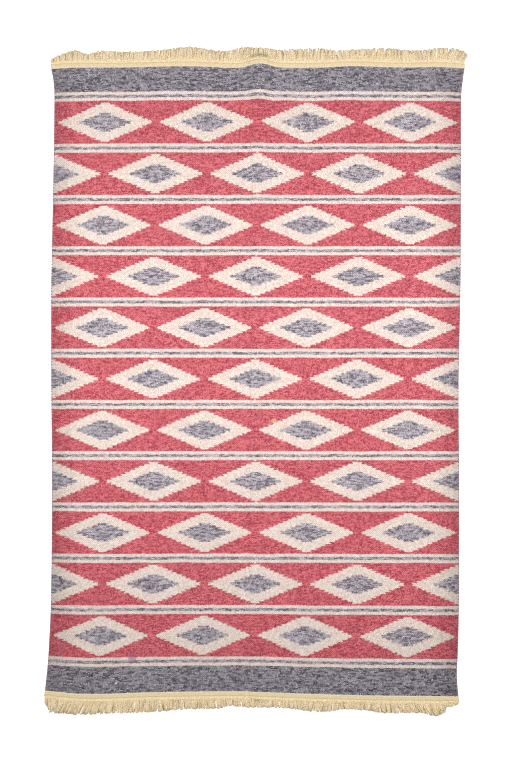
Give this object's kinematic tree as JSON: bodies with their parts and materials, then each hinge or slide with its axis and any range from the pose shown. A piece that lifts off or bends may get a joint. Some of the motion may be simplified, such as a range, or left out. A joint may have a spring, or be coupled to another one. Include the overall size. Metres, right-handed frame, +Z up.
{
  "type": "flatweave rug",
  "caption": "Flat-woven wool rug lying flat, with a soft lengthwise crease and a fringed cotton tape sewn over each end.",
  "frame": {"origin": "on the floor under the middle of the rug, fringes included", "axes": "+Y along the rug towards the end where the crease is highest, +X across it, +Z up out of the patterned side"},
  "size_m": [1.6005, 2.5492, 0.0245],
  "materials": {
    "dyed_wool": "dyed wool yarn, flat-woven, matte",
    "cotton_yarn": "undyed cotton yarn, woven tape with a loose fringe, matte"
  },
  "bodies": {
    "root": {"woven_cloth": "dyed_wool", "fringed_tape_top": "cotton_yarn", "fringed_tape_bottom": "cotton_yarn"}
  },
  "joints": []
}
